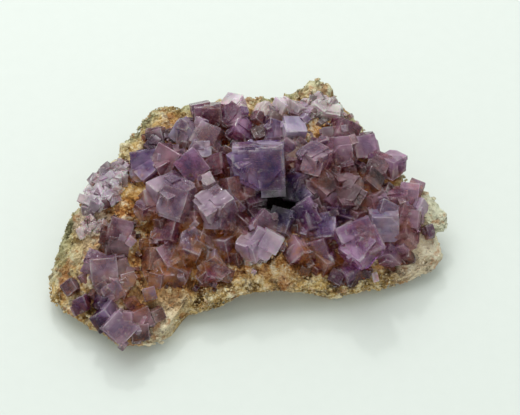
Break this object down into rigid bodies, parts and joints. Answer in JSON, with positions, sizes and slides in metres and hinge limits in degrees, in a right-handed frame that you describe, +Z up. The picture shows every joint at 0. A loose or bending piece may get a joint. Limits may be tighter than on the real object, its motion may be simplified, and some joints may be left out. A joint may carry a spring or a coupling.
{
  "type": "fluorite on matrix",
  "caption": "Purple fluorite: intergrown cube-shaped crystals over one broken slab of tan, rust-stained rock matrix, lying on its flat foot.",
  "frame": {"origin": "on the flat foot of the rock, near the middle of the specimen", "axes": "+Z up out of the foot, +X to the viewer's right along the specimen's length, -Y toward the viewer"},
  "size_m": [0.1019, 0.0754, 0.0302],
  "materials": {
    "matrix": "rough broken rock, tan with rust and grey-green stains",
    "fluorite": "satin crystal faces, cloudy purple",
    "pale_fluorite": "satin crystal faces, cloudy pale lilac"
  },
  "bodies": {
    "root": {"matrix": "matrix", "main_druse": "fluorite", "left_edge_crystals": "pale_fluorite", "left_crystals": "fluorite", "corner_crystals": "fluorite", "left_tip_crystal": "fluorite", "left_wedge_crystal": "fluorite", "violet_crystal": "fluorite", "front_white_crystal": "pale_fluorite", "right_notch_crystal": "pale_fluorite", "left_pink_crystal": "pale_fluorite"}
  },
  "joints": []
}
